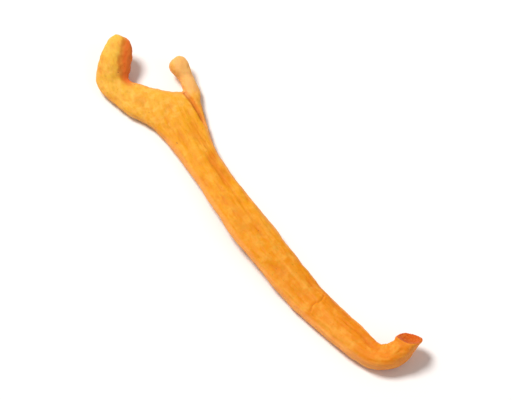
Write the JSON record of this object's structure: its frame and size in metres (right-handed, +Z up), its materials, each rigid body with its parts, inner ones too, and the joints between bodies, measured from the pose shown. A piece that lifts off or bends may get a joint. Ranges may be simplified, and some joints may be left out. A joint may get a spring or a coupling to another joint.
{
  "type": "dried cordyceps fruiting body",
  "caption": "Dried orange fungus fruiting body: a long, flat, fused blade that flares into blunt, webbed lobes and curls at its cut foot; a food or tea ingredient.",
  "frame": {"origin": "middle of the piece's box in plan, on the surface that it lies on", "axes": "+X along the blade from the lobes towards the cut foot, +Y towards the slim finger's side, +Z up out of the surface"},
  "size_m": [0.06, 0.0114, 0.0044],
  "materials": {
    "dried_skin": "matte"
  },
  "bodies": {
    "root": {"fruiting_body": "dried_skin"}
  },
  "joints": []
}
